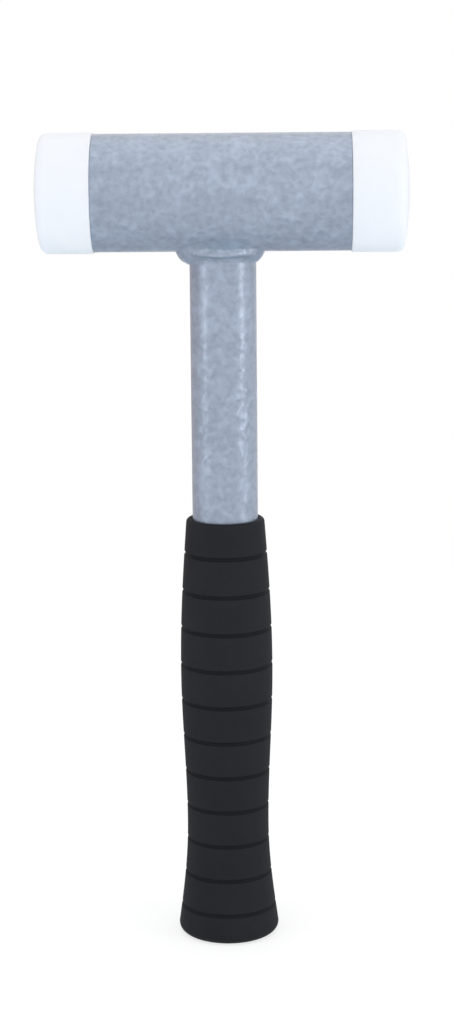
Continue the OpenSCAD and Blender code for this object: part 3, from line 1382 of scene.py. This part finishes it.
@dataclass(frozen=True)
class Flag:
    """A grey card that only reflections show, as a photographer flags a bright surface.

    It is tipped up from the floor and turned about the vertical by its angles in degrees. Where it has a
    low shade, that grades into its shade along fade, in shares of its height from its middle.
    """

    name: str
    place: Place
    width: float
    height: float
    tip: float
    turn: float
    shade: Colour
    low_shade: Colour | None = None
    fade: Span = (-0.5, 0.0)

    def material(self) -> bpy.types.Material:
        """Builds the card's glow.

        Returns:
            The material.
        """
        material = bpy.data.materials.new(self.name)
        nodes = Nodes.emptied(material)
        colour = opaque(self.shade)
        if self.low_shade is not None:
            place = nodes.node("ShaderNodeTexCoord").outputs["Object"]
            up = nodes.node("ShaderNodeSeparateXYZ", inputs={0: place}).outputs["Y"]
            grade = nodes.spread(up, 0.0, 1.0, self.fade)
            colour = nodes.blend("MIX", grade, opaque(self.low_shade), colour)
        glow = nodes.node("ShaderNodeEmission", inputs={"Color": colour})
        nodes.node("ShaderNodeOutputMaterial", inputs={"Surface": glow.outputs[0]})
        return material

    def build(self) -> None:
        """Adds the card."""
        Bench.clear()
        bpy.ops.mesh.primitive_plane_add(size=1.0)
        card = bpy.context.object
        card.name = self.name
        card.location = self.place
        card.scale = (self.width, self.height, 1.0)
        card.rotation_euler = (math.radians(self.tip), 0.0, math.radians(self.turn))
        card.data.materials.append(self.material())
        card.visible_camera = False
        card.visible_diffuse = False
        card.visible_shadow = False
        card.visible_transmission = False


@dataclass
class Studio:
    """Pale floor, soft lamps, white surroundings and the camera at the photograph's angle."""

    floor_size: float = 12.0
    floor_fade: Span = (0.25, 0.95)
    floor_glow: float = 0.70
    floor_grey: float = 0.38
    bounce_grey: float = 0.85
    bounce_glow: Colour = (0.14, 0.19, 0.23)
    sky_level: float = 0.70
    sky_colour: Colour = (0.97, 0.98, 0.99)
    image_height: float = 1024.0
    focal_pixels: float = 2349.0
    sensor: float = 36.0
    nearest: float = 50.0 * MM
    distance: float = 911.7 * MM
    elevation: float = 11.51
    azimuth: float = 1.37
    roll: float = -0.542
    target: Place = (0.67 * MM, 0.0, 170.69 * MM)
    lamps: tuple[Softbox, ...] = (
        Softbox("lamp_top", (0.0, 0.05, 1.4), 1.3, 1.7, 0.5, (0.0, 0.05, 0.2)),
        Softbox("lamp_left", (-1.012, -0.470, 0.48), 0.24, 1.0, 1.95),
        Softbox("lamp_right", (1.055, -0.426, 0.48), 0.29, 1.0, 2.8),
        Softbox("lamp_front", (0.1, -2.0, 1.05), 3.0, 1.7, 0.34),
    )
    flags: tuple[Flag, ...] = (
        Flag("flag_left", (-0.50, 0.36, 0.25), 1.02, 0.5, 90.0, 54.5, (0.58, 0.49, 0.47)),
        Flag("flag_right", (0.50, 0.46, 0.25), 0.80, 0.5, 90.0, -47.4, (0.80, 0.78, 0.78)),
        Flag("flag_floor", (0.0, 0.15, 0.002), 1.0, 0.9, 0.0, 0.0, (0.44, 0.48, 0.53), WHITE),
        Flag("flag_front", (0.0, -2.3, 0.002), 4.0, 2.6, 0.0, 0.0, (0.84, 0.84, 0.84)),
    )

    def build(self) -> None:
        """Makes the whole studio."""
        self.floor()
        self.sky()
        for prop in (*self.lamps, *self.flags):
            prop.build()
        self.camera()
        bpy.context.scene.view_settings.view_transform = "Standard"

    def floor_material(self) -> bpy.types.Material:
        """Builds the floor's surface.

        Returns:
            A material that the eye sees as white with the hammer's soft shadow, pure white in the distance,
            and that the light meets as a pale floor.
        """
        material = bpy.data.materials.new("pale_floor")
        nodes = Nodes.emptied(material)
        glow = nodes.node("ShaderNodeEmission", inputs={"Strength": self.floor_glow})
        shadow = nodes.node("ShaderNodeBsdfDiffuse", inputs={"Color": opaque((self.floor_grey,) * 3)})
        white = nodes.node("ShaderNodeEmission")
        place = nodes.node("ShaderNodeTexCoord").outputs["Object"]
        away = nodes.vector("LENGTH", {0: place}, "Value")
        fade = nodes.spread(away, 0.0, 1.0, self.floor_fade, eased=True)
        seen = nodes.mix(fade, nodes.add(glow, shadow), white)
        spread = nodes.node("ShaderNodeBsdfDiffuse", inputs={"Color": opaque((self.bounce_grey,) * 3)})
        lit = nodes.node("ShaderNodeEmission", inputs={"Color": opaque(self.bounce_glow)})
        surface = nodes.mix(nodes.shown_rays(), nodes.add(lit, spread), seen)
        nodes.node("ShaderNodeOutputMaterial", inputs={"Surface": surface.outputs[0]})
        return material

    def floor(self) -> None:
        """Lays the floor."""
        Bench.clear()
        bpy.ops.mesh.primitive_plane_add(size=self.floor_size, location=(0, 0, 0))
        plane = bpy.context.object
        plane.name = "floor"
        plane.data.materials.append(self.floor_material())

    def sky(self) -> None:
        """Makes the surroundings: white to the eye, and softer as light."""
        world = bpy.data.worlds.new("surroundings")
        bpy.context.scene.world = world
        nodes = Nodes.emptied(world)
        soft = {"Color": opaque(self.sky_colour), "Strength": self.sky_level}
        light = nodes.node("ShaderNodeBackground", inputs=soft)
        white = nodes.node("ShaderNodeBackground", inputs={"Color": opaque(WHITE), "Strength": 1.0})
        surface = nodes.mix(nodes.shown_rays(), light, white)
        nodes.node("ShaderNodeOutputWorld", inputs={"Surface": surface.outputs[0]})

    def camera(self) -> None:
        """Adds the camera at the photograph's distance and angle."""
        turn, rise = math.radians(self.azimuth), math.radians(self.elevation)
        back = Vector((math.sin(turn) * math.cos(rise), -math.cos(turn) * math.cos(rise), math.sin(rise)))
        lens = bpy.data.cameras.new("camera")
        lens.sensor_width = self.sensor
        lens.lens = self.sensor * self.focal_pixels / self.image_height
        lens.clip_start = self.nearest
        holder = bpy.data.objects.new("camera", lens)
        holder.location = Vector(self.target) + back * self.distance
        level = (-back).to_track_quat("-Z", "Y")
        holder.rotation_euler = (level @ Quaternion((0, 0, 1), math.radians(self.roll))).to_euler()
        bpy.context.scene.collection.objects.link(holder)
        bpy.context.scene.camera = holder


def main() -> None:
    """Builds the studio and the hammer, sub-assembly by sub-assembly."""
    logging.basicConfig(level=logging.INFO, format="%(name)s: %(message)s")
    Studio().build()
    weld_level, handle_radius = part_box("head_tube")[0].z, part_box("handle_tube")[1].x
    paint = HammeredPaint(weld_level, handle_radius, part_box("grip")[1].z).material()
    wire, plate, shot = (BareSteel(kind).material() for kind in SteelKind)
    head = Head(paint, Nylon().material(), wire, plate)
    head.build()
    handle = Handle(paint, PlugPlastic().material(), head.radius, head.axis_height)
    handle.build()
    Weld(paint, handle.radius, head.radius, head.axis_height).build()
    Grip(GripRubber().material(), handle.radius).build()
    Shot(shot, head.axis_height, head.bore).build()


if __name__ == "__main__":
    main()
